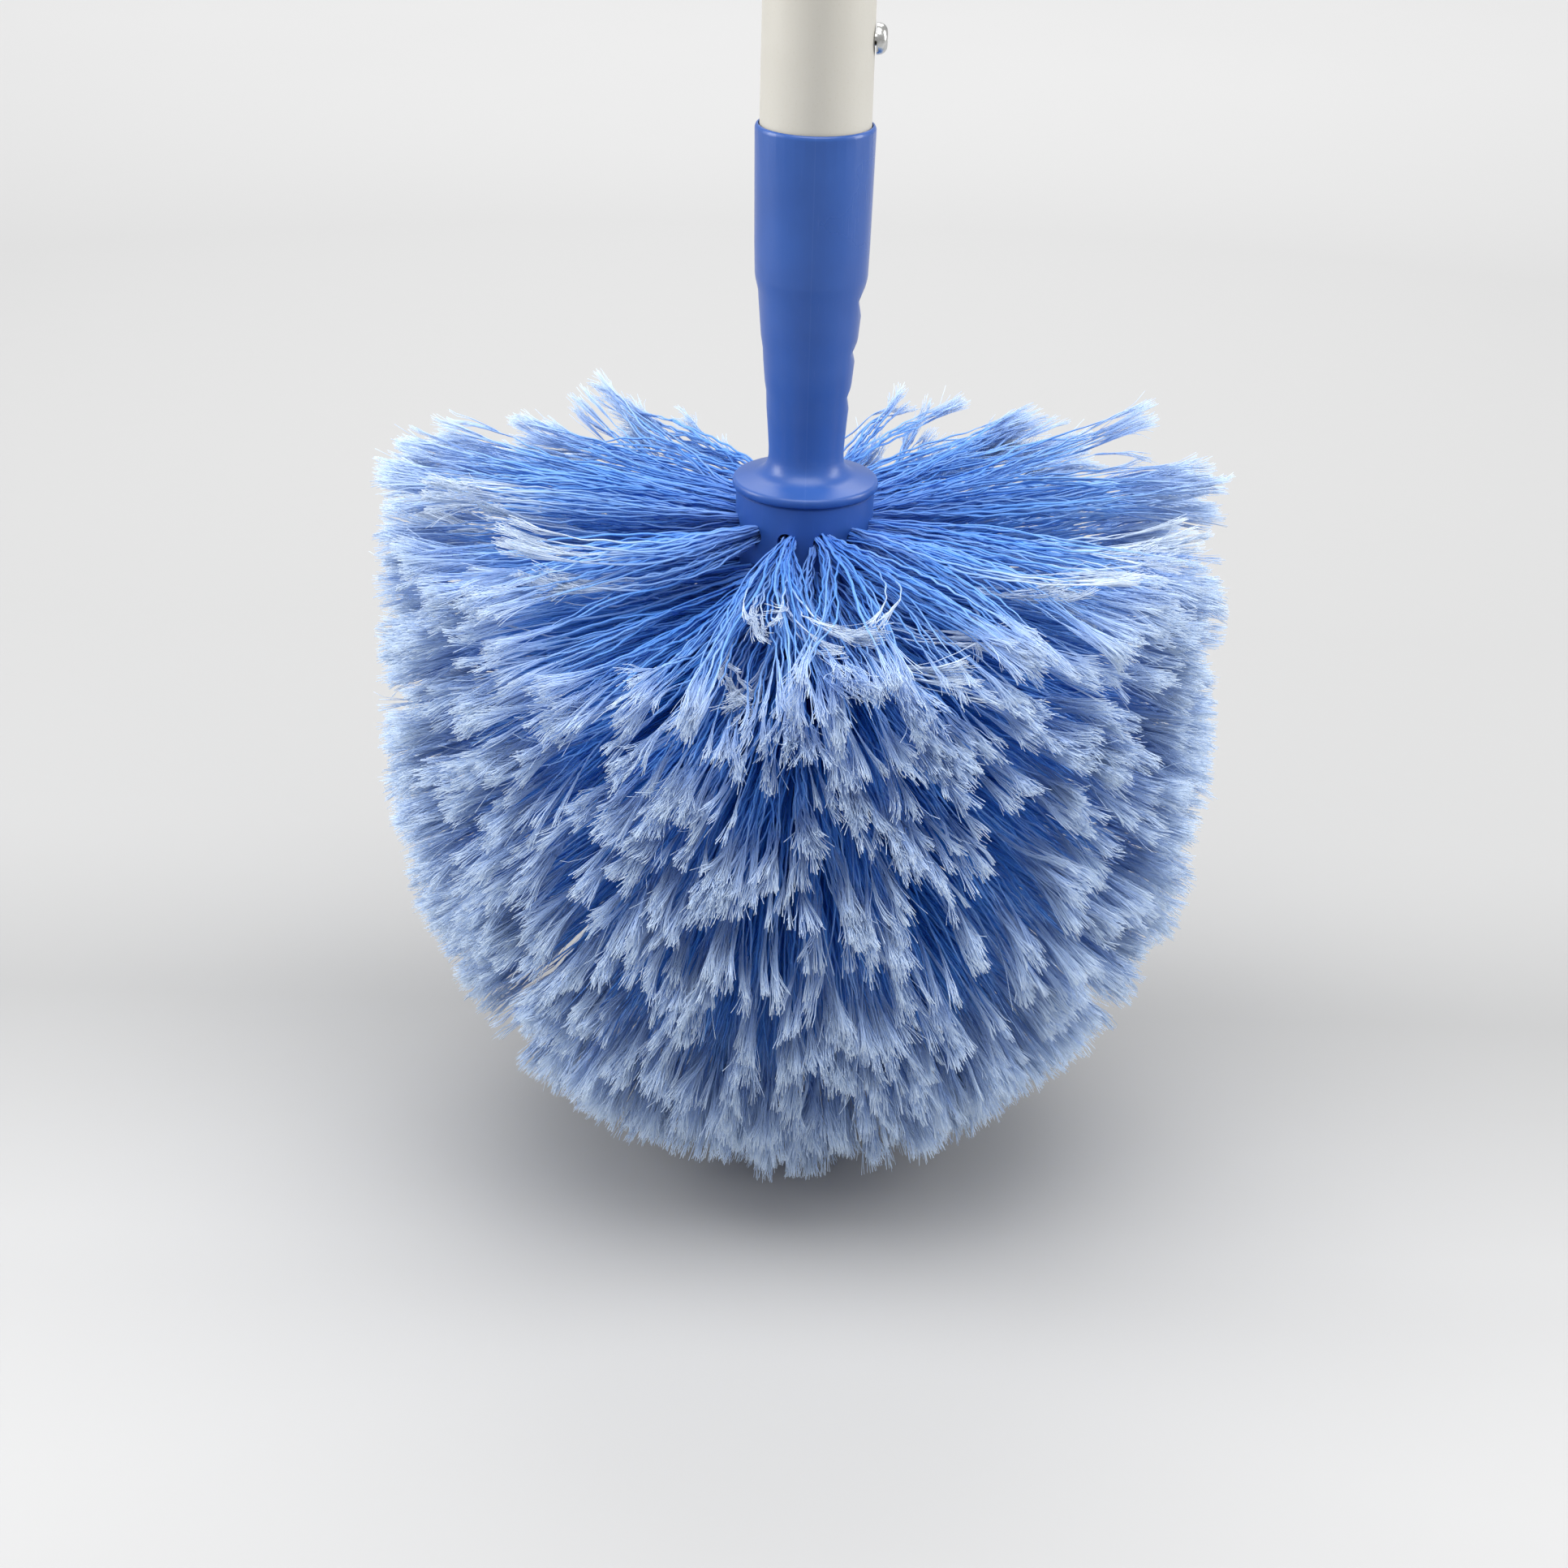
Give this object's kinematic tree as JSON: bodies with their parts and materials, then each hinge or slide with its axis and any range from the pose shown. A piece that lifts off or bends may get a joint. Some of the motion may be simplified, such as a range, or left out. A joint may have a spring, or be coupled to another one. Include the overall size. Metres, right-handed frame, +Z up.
{
  "type": "round wash brush",
  "caption": "Domed wash brush: flagged bristle tufts round a moulded core and tapered threaded socket, screwed onto a tube handle with a hanging eye.",
  "frame": {"origin": "on the brush's axis at the lowest point of the bristle dome", "axes": "+Z up the axis from the bristle dome to the hanging eye, +X towards the screw in the tube's side and the notched side of the neck"},
  "size_m": [0.197, 0.197, 0.4503],
  "materials": {
    "pole_paint": "satin",
    "tip_plastic": "satin",
    "screw_chrome": "polished",
    "screw_zinc": "satin",
    "blue_plastic": "satin",
    "seal_rubber": "matte",
    "bristle_fibre": "matte"
  },
  "bodies": {
    "pole": {"pole_tube": "pole_paint", "threaded_tip": "tip_plastic", "tip_screw": "screw_chrome", "pole_end_cap": "blue_plastic"},
    "seal": {"seal_ring": "seal_rubber"},
    "head": {"handle_socket": "blue_plastic", "core_block": "blue_plastic", "core_screw": "screw_zinc", "bristle_ring_1": "bristle_fibre", "bristle_ring_2": "bristle_fibre", "bristle_ring_3": "bristle_fibre", "bristle_ring_4": "bristle_fibre", "bristle_ring_5": "bristle_fibre", "bristle_ring_6": "bristle_fibre", "bristle_ring_7": "bristle_fibre", "bristle_ring_8": "bristle_fibre", "bristle_ring_9": "bristle_fibre", "bristle_ring_10": "bristle_fibre", "bristle_ring_11": "bristle_fibre", "bristle_ring_12": "bristle_fibre"}
  },
  "joints": [
    {"name": "head_travel", "type": "slide", "parent": "pole", "child": "seal", "axis": [0, 0, -1], "range_m": [0, 0.02]},
    {"name": "head_unscrew", "type": "hinge", "parent": "seal", "child": "head", "pos_m": [0, 0, 0.21], "axis": [0, 0, -1], "range_deg": [0, 1440]}
  ],
  "couplings": [
    {"joint": "head_travel", "follows": "head_unscrew", "m_per_rad": 0.00079577}
  ]
}
